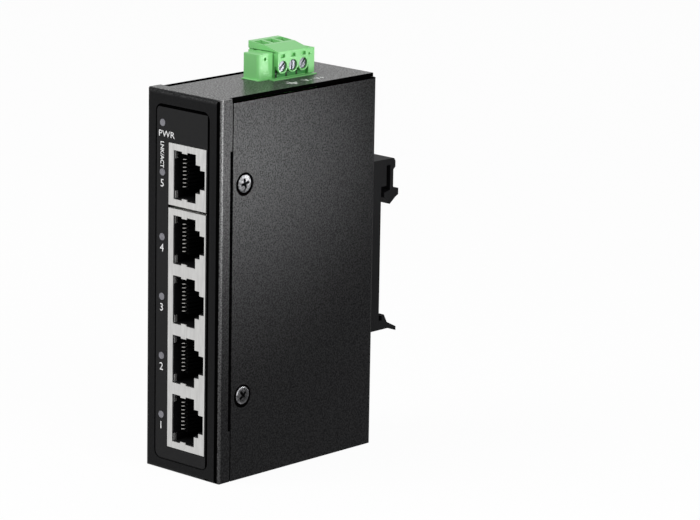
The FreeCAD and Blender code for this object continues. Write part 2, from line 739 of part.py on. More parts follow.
def board_parts():
    """What a five-port switch board carries behind its jacks."""
    chip_middle = ("(BoardFront + ChipDepth)", f"({MIDDLE} - ChipDrop)")
    surface_chip("SwitchChip", "switch_chip", chip_middle, "ChipSide", "ChipSide", "ChipThickness", 10)
    converter_middle = ("(BoardFront + ConverterDepth)", f"({MIDDLE} + ConverterHeight)")
    surface_chip("Converter", "power_converter", converter_middle,
                 "ConverterAcross", "ConverterAlong", "ConverterThickness", 4)
    coils = []
    for number, port in enumerate(PORTS):
        coils.append(box(f"LineCoil{number}", (BOARD_FACE, "JackDepth + CoilGap", f"{port} - CoilLength / 2"),
                         (f"{BOARD_FACE} + CoilRise", "JackDepth + CoilGap + CoilAcross",
                          f"{port} + CoilLength / 2")))
    place(group("LineCoils", coils), "line_transformers")
    can = rod("CanBody", "x", (BOARD_FACE, "BoardFront + CanDepth", f"{MIDDLE} + CanHeight"),
              "CanRadius", "CanLength")
    place(group("Capacitor", [can]), "power_capacitor")
    choke_depth = "(BoardFront + ChokeDepth)"
    choke_height = f"({MIDDLE} + ChokeHeight)"
    half = "ChokeSide / 2"
    choke = box("ChokeBody", (BOARD_FACE, f"{choke_depth} - {half}", f"{choke_height} - {half}"),
                (f"{BOARD_FACE} + ChokeRise", f"{choke_depth} + {half}", f"{choke_height} + {half}"))
    place(group("Choke", [choke]), "power_choke")
    crystal_low = f"({MIDDLE} - CrystalDrop)"
    crystal = box("CrystalCan", (BOARD_FACE, "BoardFront + CrystalDepth", crystal_low),
                  (f"{BOARD_FACE} + CrystalRise", "BoardFront + CrystalDepth + CrystalAcross",
                   f"{crystal_low} + CrystalLength"))
    place(group("Crystal", [crystal]), "crystal")


# ---- power header, pins and plug ----

def power_header():
    wall = "HeaderWall"
    blank = box("HeaderBlock", (BOARD_FACE, "HeaderFront", HEADER_BOTTOM),
                ("HeaderRight", "HeaderBack", "CaseHeight + HeaderRim"))
    rim = box("BlockRimPlate", ("-BlockLeft - BlockRim", "BlockFront - BlockRim", "CaseHeight"),
              ("BlockRight + BlockRim", "HeaderFront", "CaseHeight + HeaderRim"))
    ear = body("EarBody")
    block = pad(ear, "EarBlock", "XY_Plane", HEADER_BOTTOM, "BlockRise + HeaderDrop",
                rectangle("-BlockLeft", "BlockRight", "BlockFront", "BlockBack"))
    right = block.Shape.BoundBox.XMax
    front = block.Shape.BoundBox.YMin
    fillet(ear, "EarEdge", block, "BlockRadius",
           lambda edge: runs_along(edge, "z") and abs(edge.CenterOfMass.x - right) < 0.01
           and abs(edge.CenterOfMass.y - front) < 0.01)
    cavity = box("HeaderCavity", (f"{BOARD_FACE} + {wall}", "PlugFront - PlugClear", HEADER_FLOOR),
                 (f"HeaderRight - {wall}", f"HeaderBack - {wall}", "CaseHeight + 2 * HeaderRim"))
    hole_at = ("BlockRight - SheetWall", "(BlockFront + BlockBack) / 2 - PlugClear",
               "CaseHeight + BlockRise - BlockHoleDrop")
    ear_hole = rod("EarHole", "x", hole_at, "BlockHoleRadius", "2 * SheetWall")
    tools = [cavity, ear_hole] + [pin_space(f"HeaderPin{number}", pole) for number, pole in enumerate(POLES)]
    return place(cut("PowerHeader", fuse("HeaderBlank", [blank, rim, ear]), tools), "power_header")


def pin_space(name, pole):
    """One bent header pin: up through the header floor, and level through the board."""
    side = "PinSize / 2"
    upright = box(name + "Up", (f"-PinMiddle - {side}", f"{pole} - {side}", f"{HEADER_BOTTOM} + PinSize"),
                  (f"-PinMiddle + {side}", f"{pole} + {side}", PIN_TOP))
    level = box(name + "Level", (f"{BOARD_BACK} - PinTail", f"{pole} - {side}", f"{HEADER_BOTTOM} + PinSize"),
                (f"-PinMiddle + {side}", f"{pole} + {side}", f"{HEADER_BOTTOM} + 2 * PinSize"))
    return fuse(name, [upright, level])


def header_pins():
    pins = [pin_space(f"Pin{number}", pole) for number, pole in enumerate(POLES)]
    return place(group("HeaderPins", pins), "header_pins")


def power_plug():
    deck = "CaseHeight"
    item = body("PlugBlank")
    pad(item, "PlugUpper", "XZ_Plane", "PlugFront", "PlugBack - PlugFront", [
        ("-PlugLeft", f"{deck} + PlugLift"),
        ("PlugRight", f"{deck} + PlugLift"),
        ("PlugRight", f"{deck} + ScrewFaceTop"),
        ("-RidgeSide", f"{deck} + RidgeTop"),
        ("-PlugLeft", f"{deck} + PlugTop"),
    ])
    pad(item, "PlugTailBlock", "XZ_Plane", "PlugBack", "PlugTail",
        rectangle("-TailLeft", "PlugRight", f"{deck} + PlugLift", f"{deck} + TailTop"))
    pad(item, "PlugTongue", "XZ_Plane", "PlugFront", "HeaderBack - HeaderWall - PlugClear - PlugFront",
        rectangle(f"{BOARD_FACE} + HeaderWall + PlugClear", "HeaderRight - HeaderWall - PlugClear",
                  f"{HEADER_FLOOR} + 2 * PlugClear", f"{deck} + PlugLift"))
    clamp = f"({deck} + ClampHeight)"
    foot = box("PlugFoot", ("PlugRight - FootRecess", "PlugFront - 1", f"{deck} + PlugLift - 1"),
               ("PlugRight + 1", f"{POLES[2]} + PolePitch / 2", clamp))
    lobes = [rod(f"PlugLobe{number}", "x", ("PlugRight - FootRecess - 1", pole, clamp), "LobeRadius",
                 "FootRecess + 1") for number, pole in enumerate(POLES)]
    tools = [cut("PlugFootSpace", foot, lobes)]
    groove_low = f"{deck} + BlockRise - GrooveWidth"
    tools.append(box("PlugGroove", ("-PlugLeft - 1", "PlugFront - 1", groove_low),
                     ("PlugRight - SheetWall", "PlugFront + GrooveWidth", f"{groove_low} + GrooveHeight")))
    tools.append(box("PlugTopNotch", ("-RidgeSide + TailNotch", "PlugBack + TailNotch",
                                      f"{deck} + TailTop - NotchDepth"),
                     ("PlugRight - NotchDepth", "PlugBack + 2 * TailNotch", f"{deck} + TailTop + 1")))
    mark_at = ("PlugRight - TailMark", "PlugBack + TailMark", f"{deck} + NotchBottom")
    tools.append(rod("PlugMark", "x", mark_at, "TailMarkRadius", "2 * TailMark"))
    tools.append(box("PlugFootMark", ("PlugRight - TailMark", "PlugBack - 2 * TailMark",
                                      f"{deck} + FootMarkBottom"),
                     ("PlugRight + 1", "PlugBack - TailMark", f"{deck} + FootMarkBottom + TailMark")))
    channel = "(ClampShankRadius + PlugClear)"
    sunk = "ClampHeadDepth + ClampHeadLength"
    for number, pole in enumerate(POLES):
        name = f"PlugPole{number}"
        tools.append(rod(name + "Hole", "x", (f"PlugRight - ({sunk})", pole, clamp),
                         "ClampHoleRadius", f"{sunk} + 1"))
        tools.append(box(name + "Bore",
                         ("-EntryRight - ChannelEnd", f"{pole} - {channel}", f"{clamp} - {channel}"),
                         ("PlugRight - ClampHeadDepth", f"{pole} + {channel}", f"{clamp} + {channel}")))
        tools.append(box(name + "Entry", ("-EntryLeft", f"{pole} - EntryHalf", f"{deck} + EntryFloor"),
                         ("-EntryRight", f"{pole} + EntryHalf", f"{deck} + PlugTop + 1")))
        tools.append(box(name + "Slot", ("-EntryLeft + CageWall", f"{pole} - SlotHalf",
                                         f"{deck} + EntryFloor - SlotDrop"),
                         ("-PinMiddle + SocketNear", f"{pole} + SlotHalf", f"{deck} + EntryFloor")))
        tools.append(box(name + "Socket", ("-PinMiddle - SocketFar", f"{pole} - SlotHalf", HEADER_FLOOR),
                         ("-PinMiddle + SocketNear", f"{pole} + SlotHalf", f"{deck} + EntryFloor")))
        tools.append(box(name + "Notch", ("PlugRight - NotchDepth", f"{pole} - NotchNear",
                                          f"{deck} + NotchBottom"),
                         ("PlugRight + 1", f"{pole} + NotchFar", f"{deck} + NotchTop")))
    return place(cut("PowerPlug", item, tools), "power_plug")


def clamp_screws():
    """Slotted clamp screws; each stands at the angle it was last turned to."""
    clamp = "CaseHeight + ClampHeight"
    angles = (40, 88, 52)
    screws = []
    for number, (pole, angle) in enumerate(zip(POLES, angles)):
        name = f"Clamp{number}"
        head = rod(name + "Head", "x", ("-ClampHeadLength", "0", "0"), "ClampHeadRadius", "ClampHeadLength")
        reach = "(PlugRight - ClampHeadDepth + EntryRight + CageClear)"
        shank = rod(name + "Shank", "x", (f"-{reach}", "0", "0"), "ClampShankRadius",
                    f"{reach} - ClampHeadLength / 2")
        slot = box(name + "Slot", ("-ClampSlotDepth", "-ClampHeadRadius - 1", "-ClampSlotHalf"),
                   ("1", "ClampHeadRadius + 1", "ClampSlotHalf"))
        screw = cut(name, fuse(name + "Blank", [head, shank]), [slot])
        screw.Placement.Rotation = FreeCAD.Rotation(FreeCAD.Vector(1, 0, 0), angle)
        put(screw, ("PlugRight - ClampHeadDepth", pole, clamp))
        screws.append(screw)
    return place(group("ClampScrews", screws), "clamp_screws")


def clamp_cages():
    cages = []
    floor = "CaseHeight + EntryFloor"
    for number, pole in enumerate(POLES):
        left = "-EntryLeft + CageClear"
        right = "-EntryRight - CageClear"
        near = f"{pole} - EntryHalf + CageClear"
        far = f"{pole} + EntryHalf - CageClear"
        outer = box(f"Cage{number}Outer", (left, near, floor), (right, far, f"{floor} + CageHeight"))
        inner = box(f"Cage{number}Inner", (f"{left} + CageWall", f"{near} + CageWall", f"{floor} - 1"),
                    (f"{right} - CageWall", f"{far} - CageWall", f"{floor} + CageHeight + 1"))
        cages.append(cut(f"Cage{number}", outer, [inner]))
    return place(group("Cages", cages), "clamp_cages")


def plug_contacts():
    left = "-EntryLeft + CageClear + CageWall"
    floor = "CaseHeight + EntryFloor"
    strip = "CageWall"
    down = "(-PinMiddle + PinSize / 2 + PlugClear)"
    sheet_outline = flat_sketch("PlugStrip", [
        (left, f"{floor} + CageHeight - {strip}"),
        (left, f"{floor} - StripDrop"),
        (down, f"{floor} - StripDrop"),
        (down, f"{HEADER_FLOOR} + StripHook"),
        (f"{down} + {strip}", f"{HEADER_FLOOR} + StripHook"),
        (f"{down} + {strip}", f"{floor} - StripDrop + {strip}"),
        (f"{left} + {strip}", f"{floor} - StripDrop + {strip}"),
        (f"{left} + {strip}", f"{floor} + CageHeight - {strip}"),
    ], upright=True)
    strips = [prism(f"PlugStrip{number}", sheet_outline, FreeCAD.Vector(0, 1, 0), "2 * CageWall",
                    ("0", f"{pole} - CageWall", "0")) for number, pole in enumerate(POLES)]
    return place(group("PlugStrips", strips), "plug_contacts")


# ---- rail clip ----

def rail_clip():
    def at(depth, height):
        return (f"CaseDepth + {depth}", f"{MIDDLE} + {height}")

    behind_lip = "ClipPlate + RailLip"
    leg_back = "LegInner + LegSlotWidth"
    grip = "(RailHalf + RailClear)"
    item = body("ClipBlank")
    profile = pad(item, "ClipProfile", "YZ_Plane", "-ClipWidth / 2", "ClipWidth", [
        at("0", "-ClipBottom"),
        at("0", "ClipTop"),
        # bent-over spring leg with its thumb bead and barb
        at("LegOuter + BeadEase", "ClipTop"),
        at("LegOuter + BeadReach", "ClipTop - BeadTop"),
        at("LegOuter + BeadReach", "ClipTop - BeadBottom"),
        at("LegOuter", "ClipTop - BeadRoot"),
        at("LegOuter", f"{grip} + BarbRoot"),
        at("ClipReach", f"{grip} - BarbTop"),
        at("ClipReach", f"{grip} - BarbBottom"),
        at("LegOuter + BarbStep", f"{grip} - BarbUnder"),
        at(leg_back, f"{grip} - BarbFoot"),
        at(behind_lip, f"{grip} - HookFoot"),
        at(behind_lip, f"{grip} - HookTop"),
        at(leg_back, f"{grip} - HookRoot"),
        # slot between the legs and the seat of the rail's upper lip
        at(leg_back, "ClipTop - CrownWall"),
        at("LegInner", "ClipTop - CrownWall"),
        at("LegInner", f"{grip} + SeatRise"),
        at("ClipPlate", f"{grip} + SeatRise"),
        # plate, lower lip's pocket, latch nose and release tail
        at("ClipPlate", f"-{grip}"),
        at(behind_lip, f"-{grip}"),
        at(behind_lip, f"-{grip} + LatchRise"),
        at(f"{behind_lip} + LatchEase", f"-{grip} + LatchNose"),
        at(f"{behind_lip} + LatchReach", f"-{grip} - LatchSlope"),
        at("ClipReach", f"-{grip} - ReleaseTop"),
        at("ClipReach", f"-{grip} - ReleaseBottom"),
        at("ClipReach - ReleaseSlope", "-ClipBottom"),
    ])
    back = profile.Shape.BoundBox
    fillet(item, "ClipCrown", profile, "CrownRadius",
           lambda edge: runs_along(edge, "x") and edge.CenterOfMass.z > back.ZMax - 0.01
           and edge.CenterOfMass.y > back.YMin + 1)
    holes = []
    for number, height in enumerate(CLIP_SCREWS):
        sink = "(ClipScrewHead - ClipScrewShank)"
        holes.append(cone(f"ClipSink{number}", "y", ("0", f"CaseDepth + ClipPlate - {sink}", height),
                          "ClipScrewShank + HoleClear", "ClipScrewHead + HoleClear", sink))
        holes.append(rod(f"ClipHole{number}", "y", ("0", "CaseDepth - 1", height),
                         "ClipScrewShank + HoleClear", "ClipPlate + 2"))
    return place(cut("RailClip", item, holes), "rail_clip")


def clip_screws():
    screws = []
    face = "(CaseDepth + ClipPlate - ClipScrewSunk)"
    sink = "(ClipScrewHead - ClipScrewShank)"
    for number, height in enumerate(CLIP_SCREWS):
        name = f"ClipScrew{number}"
        head = cone(name + "Head", "y", ("0", f"{face} - {sink}", height),
                    "ClipScrewShank", "ClipScrewHead", sink)
        shank = rod(name + "Shank", "y", ("0", f"{face} - ClipScrewLength", height), "ClipScrewShank",
                    "ClipScrewLength - RecessFloor")
        slots = cross_slots(name + "Slot", ("0", face, height), "ClipScrewHead", "RecessFloor", "y")
        screws.append(cut(name, fuse(name + "Blank", [head, shank]), slots))
    return place(group("ClipScrews", screws), "clip_screws")


def clip_nuts():
    nuts = []
    for number, height in enumerate(CLIP_SCREWS):
        start = "CaseDepth - SheetWall - NutLength"
        nut = hexagon(f"ClipNut{number}", "y", ("0", start, height), "NutAcross", "NutLength")
        bore = rod(f"ClipNutBore{number}", "y", ("0", f"{start} - 1", height), "ClipScrewShank + PipeClear",
                   "NutLength + 2")
        nuts.append(cut(f"ClipNutRing{number}", nut, [bore]))
    return place(group("ClipNuts", nuts), "clip_nuts")


front_tray()
front_label()
wrap_cover()
case_screws()
case_nuts()
jack_block("single", [SINGLE_PORT], SINGLE_PORT, "JackHeight")
jack_block("quad", GANG_PORTS, GANG_MIDDLE, "(JackHeight + 3 * PortPitch)")
light_pipes()
lamp_chips()
main_board()
board_standoffs()
board_screws()
board_parts()
power_header()
header_pins()
power_plug()
clamp_screws()
clamp_cages()
plug_contacts()
rail_clip()
clip_screws()
clip_nuts()
doc.recompute()

for item in doc.Objects:
    if "Invalid" in item.State or "Error" in item.State:
        raise RuntimeError(f"{item.Name} failed: {item.State}")
for item in finished:
    shape = item.Shape
    if shape.isNull() or not shape.isValid() or shape.Volume <= 0:
        raise RuntimeError(f"{item.Label} has no sound shape")
for item in finished:
    item.Shape.exportStep(f"parts/{item.Label}.step")
    print(f"{item.Label}: {len(item.Shape.Solids)} solids, {item.Shape.Volume:.1f} mm3")
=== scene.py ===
import json
import math

import bmesh
import bpy
from mathutils import Matrix, Vector


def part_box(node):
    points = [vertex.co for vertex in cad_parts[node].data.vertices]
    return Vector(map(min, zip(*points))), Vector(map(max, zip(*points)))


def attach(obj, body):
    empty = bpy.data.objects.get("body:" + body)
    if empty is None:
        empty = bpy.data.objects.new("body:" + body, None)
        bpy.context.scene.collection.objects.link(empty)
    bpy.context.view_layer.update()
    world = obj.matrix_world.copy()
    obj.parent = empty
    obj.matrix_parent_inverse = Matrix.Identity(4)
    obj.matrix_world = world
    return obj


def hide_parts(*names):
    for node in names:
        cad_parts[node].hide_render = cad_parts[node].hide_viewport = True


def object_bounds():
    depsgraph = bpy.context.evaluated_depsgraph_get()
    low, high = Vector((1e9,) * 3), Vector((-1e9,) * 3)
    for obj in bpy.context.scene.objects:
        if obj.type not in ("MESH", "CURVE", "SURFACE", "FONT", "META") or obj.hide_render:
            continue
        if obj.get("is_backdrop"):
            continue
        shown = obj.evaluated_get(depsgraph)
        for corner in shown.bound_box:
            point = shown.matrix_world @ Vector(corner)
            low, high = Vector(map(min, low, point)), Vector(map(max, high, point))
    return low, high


mm = 0.001

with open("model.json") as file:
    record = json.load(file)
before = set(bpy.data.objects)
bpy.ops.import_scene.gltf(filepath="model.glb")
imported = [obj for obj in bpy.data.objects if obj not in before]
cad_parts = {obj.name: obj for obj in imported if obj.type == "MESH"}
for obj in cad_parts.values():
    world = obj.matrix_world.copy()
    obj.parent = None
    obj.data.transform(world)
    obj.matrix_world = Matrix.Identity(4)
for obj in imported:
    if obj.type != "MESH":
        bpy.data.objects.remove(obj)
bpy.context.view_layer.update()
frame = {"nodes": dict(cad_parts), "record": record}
nodes = frame["nodes"]
scene = bpy.context.scene
print("frame loaded:", len(nodes), "nodes")

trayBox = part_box("front_tray")
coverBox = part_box("wrap_cover")
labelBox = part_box("front_label")
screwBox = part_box("case_screws")
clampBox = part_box("clamp_screws")
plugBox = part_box("power_plug")
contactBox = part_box("single_jack_contacts")
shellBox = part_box("single_jack_shell")

# the plug's three poles, from the two outer clamp screws
clampRadius = (clampBox[1].z - clampBox[0].z) / 2
firstPole, lastPole = clampBox[0].y + clampRadius, clampBox[1].y - clampRadius
poles = [firstPole, (firstPole + lastPole) / 2, lastPole]

# ports 1 to 4 are the four-gang jack and port 5 is the single one
portCount, gangCount = 5, 4
openings = frame["record"]["physics"]["openings"][:portCount]
portHeights = [(opening["box_m"][0][2] + opening["box_m"][1][2]) / 2 for opening in openings]


# node helpers that every finish below uses

def addNode(material, kind, **inputs):
    node = material.node_tree.nodes.new("ShaderNode" + kind)
    for name, value in inputs.items():
        node.inputs[name].default_value = value
    return node


def wire(material, output, target):
    material.node_tree.links.new(output, target)


def startFinish(name, color, roughness, metallic=0.0, specular=0.5):
    material = bpy.data.materials.new(name)
    material.use_nodes = True
    shader = material.node_tree.nodes["Principled BSDF"]
    shader.inputs["Base Color"].default_value = (*color, 1)
    shader.inputs["Roughness"].default_value = roughness
    shader.inputs["Metallic"].default_value = metallic
    shader.inputs["Specular IOR Level"].default_value = specular
    return material, shader


def grain(material, size, detail=2.0, stretch=(1, 1, 1)):
    place = addNode(material, "TexCoord")
    mapping = addNode(material, "Mapping", Scale=stretch)
    noise = addNode(material, "TexNoise", Scale=1 / size, Detail=detail)
    wire(material, place.outputs["Object"], mapping.inputs["Vector"])
    wire(material, mapping.outputs["Vector"], noise.inputs["Vector"])
    return noise.outputs["Fac"]


def between(material, field, low, high, start=0.3, end=0.7):
    limits = {"From Min": start, "From Max": end, "To Min": low, "To Max": high}
    ramp = addNode(material, "MapRange", **limits)
    wire(material, field, ramp.inputs["Value"])
    return ramp.outputs["Result"]


def mottle(material, field, dark, light, target, start=0.3, end=0.7):
    ramp = addNode(material, "ValToRGB")
    ramp.color_ramp.elements[0].position = start
    ramp.color_ramp.elements[0].color = (*dark, 1)
    ramp.color_ramp.elements[1].position = end
    ramp.color_ramp.elements[1].color = (*light, 1)
    wire(material, field, ramp.inputs["Fac"])
    wire(material, ramp.outputs["Color"], target)


def relief(material, shader, field, height):
    bump = addNode(material, "Bump", Distance=height)
    wire(material, field, bump.inputs["Height"])
    wire(material, bump.outputs["Normal"], shader.inputs["Normal"])
    return bump


def tinted(color, factor):
    return tuple(channel * factor for channel in color)


def combined(material, operation, first, second):
    # one field from two, either of which may be a plain number
    both = addNode(material, "Math")
    both.operation = operation
    for socket, value in zip(both.inputs, (first, second)):
        if isinstance(value, (int, float)):
            socket.default_value = value
        else:
            wire(material, value, socket)
    return both.outputs[0]


def allOf(material, operation, fields):
    total = fields[0]
    for field in fields[1:]:
        total = combined(material, operation, total, field)
    return total


def colorMix(material, share):
    # two colours mixed by a field, to be put into A and B
    mix = addNode(material, "Mix")
    mix.data_type = "RGBA"
    wire(material, share, mix.inputs["Factor"])
    return mix


def partPlace(material):
    # the X, Y and Z of each point in the part's own frame
    place = addNode(material, "SeparateXYZ")
    wire(material, addNode(material, "TexCoord").outputs["Object"], place.inputs[0])
    return place


def inside(material, place, limits):
    # 1 where the place lies between the limits of every axis named, and 0 elsewhere
    tests = []
    for axis, edges in limits.items():
        for edge, sign in zip(edges, ("GREATER_THAN", "LESS_THAN")):
            if edge is not None:
                tests.append(combined(material, sign, place.outputs[axis], edge))
    return allOf(material, "MULTIPLY", tests)


def screwReach(material, shift=0.0):
    # distance from the middle of the nearer case screw, seen from the side
    head = (screwBox[1].y - screwBox[0].y) / 2
    deep = (screwBox[0].y + screwBox[1].y) / 2 + shift
    reaches = []
    for height in (screwBox[1].z - head, screwBox[0].z + head):
        flat = addNode(material, "VectorMath")
        flat.operation = "MULTIPLY"
        wire(material, addNode(material, "TexCoord").outputs["Object"], flat.inputs[0])
        flat.inputs[1].default_value = (0, 1, 1)
        away = addNode(material, "VectorMath")
        away.operation = "DISTANCE"
        wire(material, flat.outputs[0], away.inputs[0])
        away.inputs[1].default_value = (0, deep, height)
        reaches.append(away.outputs["Value"])
    return allOf(material, "MINIMUM", reaches)


# painted shade in the case paint: the top plate's margins, the front fold, the label's groove and a ring
# round each screw dimple, in mm

paintedShadeColor = (0.0008, 0.0008, 0.0008)
paintedShadeLook = {
    "hair": 0.05,  # how far a limit clears the face that it stops at
    "plateInset": 1.25,
    "plateFront": 0.5,  # in front of the cover's edge
    "plateLeft": 2.2,
    "plateDrop": 1.2,
    "foldNear": 0.03,  # behind the port face
    "foldFar": 0.5,
    "foldWidth": 1.0,
    "groove": 0.8,
    "dimple": 3.05,
    "dimpleShift": -0.5,  # towards the front
}


def jointShade(material, place):
    # 1 where shade is painted: on the top plate's margins, the front fold, the label's groove and round the
    #                           screw dimples
    look = {key: value * mm for key, value in paintedShadeLook.items()}
    side, top, face = trayBox[1].x, trayBox[1].z, trayBox[0].y
    plateSide = side - look["plateInset"]
    plateFront = coverBox[0].y - look["plateFront"]
    inFold = (face + look["foldNear"], face + look["foldFar"])
    underTop = top - look["hair"]
    inGroove = (face + look["hair"], face + look["groove"])
    grooveRight = (labelBox[1].x - look["groove"], labelBox[1].x + look["groove"])
    grooveTop = (labelBox[1].z - look["groove"], labelBox[1].z + look["groove"])
    shadedPlaces = [
        {"X": (None, -plateSide + look["plateLeft"]), "Y": (plateFront, None), "Z": (underTop, None)},
        {"X": (plateSide - look["hair"], None), "Y": (plateFront, None),
         "Z": (top - look["plateDrop"], None)},
        {"X": (side - look["foldWidth"], None), "Y": inFold, "Z": (None, underTop)},
        {"X": grooveRight, "Y": inGroove, "Z": (None, grooveTop[1])},
        {"X": (None, grooveRight[1]), "Y": inGroove, "Z": grooveTop},
    ]
    masks = [inside(material, place, limits) for limits in shadedPlaces]
    masks.append(combined(material, "LESS_THAN", screwReach(material, look["dimpleShift"]), look["dimple"]))
    return allOf(material, "MAXIMUM", masks)


# speckled paint of the case, with painted shade in its gaps and lighter flecks of painted sheen on the top
# plate

paintLook = {
    "color": (0.0045, 0.0045, 0.005),
    "tints": (0.7, 1.35),
    "tintSpan": (0.35, 0.65),
    "roughness": 0.44,
    "speckle": 0.42,
    "detail": 3.0,
    "height": 0.03,
    "sheen": (0.06, 0.2),
    "sheenSpan": (0.38, 0.62),
    "faceSheen": 0.16,
    "paintedFoldGlint": 4.6,
    "topPaintedSheen": ((0.0, 0.0, 0.0), (0.2, 0.2, 0.2)),
    "topSpan": (0.46, 0.68),
    "topRoughness": 0.3,
}


def paintSheen(material, place, speckle, shade):
    # the speckle's gloss: even on the port face, raised on the front fold as a painted highlight, and none in
    # the painted shade
    look = paintLook
    face = trayBox[0].y
    foldWidth = paintedShadeLook["foldWidth"] * mm
    foldFar = face + paintedShadeLook["foldFar"] * mm
    onFold = inside(material, place, {"X": (trayBox[1].x - foldWidth, None),
                                      "Y": (foldFar, foldFar + foldWidth)})
    onFace = inside(material, place, {"Y": (None, face + paintedShadeLook["hair"] * mm)})
    paintedGlint = between(material, onFold, 1.0, look["paintedFoldGlint"], 0.0, 1.0)
    sheen = between(material, speckle, *look["sheen"], *look["sheenSpan"])
    even = addNode(material, "Mix")
    wire(material, onFace, even.inputs["Factor"])
    wire(material, combined(material, "MULTIPLY", sheen, paintedGlint), even.inputs["A"])
    even.inputs["B"].default_value = look["faceSheen"]
    clear = combined(material, "SUBTRACT", 1.0, shade)
    return combined(material, "MULTIPLY", even.outputs["Result"], clear)


def powderCoat():
    look = paintLook
    material, shader = startFinish("blackPowderCoat", look["color"], look["roughness"])
    place = partPlace(material)
    speckle = grain(material, look["speckle"] * mm, look["detail"])
    shade = jointShade(material, place)
    top, hair = trayBox[1].z, paintedShadeLook["hair"] * mm
    onTop = inside(material, place, {"Z": (top - hair, top + hair)})
    coat = colorMix(material, onTop)
    dark, light = (tinted(look["color"], tint) for tint in look["tints"])
    mottle(material, speckle, dark, light, coat.inputs["A"], *look["tintSpan"])
    # the top plate gets far lighter flecks than the sides: a painted sheen from the light above
    mottle(material, speckle, *look["topPaintedSheen"], coat.inputs["B"], *look["topSpan"])
    # painted shade: near black over the coat wherever that mask is 1
    shadedCoat = colorMix(material, shade)
    wire(material, coat.outputs["Result"], shadedCoat.inputs["A"])
    shadedCoat.inputs["B"].default_value = (*paintedShadeColor, 1)
    wire(material, shadedCoat.outputs["Result"], shader.inputs["Base Color"])
    roughness = between(material, onTop, look["roughness"], look["topRoughness"], 0.0, 1.0)
    wire(material, roughness, shader.inputs["Roughness"])
    wire(material, paintSheen(material, place, speckle, shade), shader.inputs["Specular IOR Level"])
    relief(material, shader, speckle, look["height"] * mm)
    return material


# printed film of the front label, with painted shade along its top and right edges

filmLook = {"color": (0.012, 0.012, 0.0125), "tints": (0.85, 1.2), "weave": 0.3, "height": 0.006,
            "roughness": (0.5, 0.62), "specular": 0.18, "edge": 0.5}


def printedFilm():
    look = filmLook
    material, shader = startFinish("blackLabelFilm", look["color"], look["roughness"][0],
                                   specular=look["specular"])
    place = partPlace(material)
    weave = grain(material, look["weave"] * mm)
    wire(material, between(material, weave, *look["roughness"]), shader.inputs["Roughness"])
    # painted shadow of the groove along the top and right edges: near black and without gloss
    width = look["edge"] * mm
    edges = [inside(material, place, {"Z": (labelBox[1].z - width, None)}),
             inside(material, place, {"X": (labelBox[1].x - width, None)})]
    edge = allOf(material, "MAXIMUM", edges)
    film = colorMix(material, edge)
    dark, light = (tinted(look["color"], tint) for tint in look["tints"])
    mottle(material, weave, dark, light, film.inputs["A"])
    film.inputs["B"].default_value = (*paintedShadeColor, 1)
    wire(material, film.outputs["Result"], shader.inputs["Base Color"])
    gloss = between(material, edge, look["specular"], 0.0, 0.0, 1.0)
    wire(material, gloss, shader.inputs["Specular IOR Level"])
    relief(material, shader, weave, look["height"] * mm)
    return material


inkLook = {"color": (0.85, 0.85, 0.85), "worn": (0.72, 0.72, 0.73), "fresh": (0.92, 0.92, 0.92),
           "roughness": 0.6, "specular": 0.3, "wear": 0.35}


def whitePrint():
    look = inkLook
    material, shader = startFinish("whitePrint", look["color"], look["roughness"], specular=look["specular"])
    wear = grain(material, look["wear"] * mm)
    mottle(material, wear, look["worn"], look["fresh"], shader.inputs["Base Color"])
    return material


# metals and mouldings; sizes of grain and relief in mm

metalLook = {"detail": 3.0, "roughSpan": (0.8, 1.25)}
mouldLook = {"detail": 3.0, "roughSpan": (0.88, 1.15), "flow": 14, "tints": (0.9, 1.1)}


def sheetMetal(name, color, roughness, brush=0.25, stretch=(1, 1, 0.08), height=0.004, streak=(0.9, 1.05)):
    material, shader = startFinish(name, color, roughness, metallic=1.0)
    brushed = grain(material, brush * mm, metalLook["detail"], stretch)
    smooth, rough = (roughness * share for share in metalLook["roughSpan"])
    wire(material, between(material, brushed, smooth, rough), shader.inputs["Roughness"])
    dark, light = (tinted(color, share) for share in streak)
    mottle(material, brushed, dark, light, shader.inputs["Base Color"])
    relief(material, shader, brushed, height * mm)
    return material


def moulded(name, color, roughness, surface=0.35, height=0.01, specular=0.5):
    material, shader = startFinish(name, color, roughness, specular=specular)
    skin = grain(material, surface * mm, mouldLook["detail"])
    flow = grain(material, surface * mm * mouldLook["flow"], 1.0)
    smooth, rough = (roughness * share for share in mouldLook["roughSpan"])
    wire(material, between(material, skin, smooth, rough), shader.inputs["Roughness"])
    dark, light = (tinted(color, tint) for tint in mouldLook["tints"])
    mottle(material, flow, dark, light, shader.inputs["Base Color"])
    relief(material, shader, skin, height * mm)
    return material


screwLook = {"color": (0.05, 0.05, 0.052), "roughness": 0.4, "brush": 0.5, "height": 0.03,
             "streak": (0.25, 2.4), "rim": (1.8, 2.1), "rimHighlightGain": (4.5, 1.1)}


def screwNickel():
    # dark plated steel with a painted highlight on its rim, stronger on the lower screws
    look = screwLook
    material = sheetMetal("darkNickel", look["color"], look["roughness"], look["brush"], (1, 1, 1),
                          look["height"], look["streak"])
    shader = material.node_tree.nodes["Principled BSDF"]
    plated = shader.inputs["Base Color"].links[0].from_socket
    height = partPlace(material).outputs["Z"]
    gain = between(material, height, *look["rimHighlightGain"], screwBox[0].z, screwBox[1].z)
    onRim = between(material, screwReach(material), 0.0, 1.0, *(radius * mm for radius in look["rim"]))
    paintedRimHighlight = addNode(material, "VectorMath")
    paintedRimHighlight.operation = "SCALE"
    wire(material, plated, paintedRimHighlight.inputs[0])
    wire(material, combined(material, "POWER", gain, onRim), paintedRimHighlight.inputs["Scale"])
    wire(material, paintedRimHighlight.outputs[0], shader.inputs["Base Color"])
    return material


contactFinish = {"bright": (0.97, 0.95, 0.91), "dull": (0.05, 0.042, 0.03), "roughness": (0.22, 0.4),
                 "polish": 0.3, "height": 0.003, "depth": 1.0}


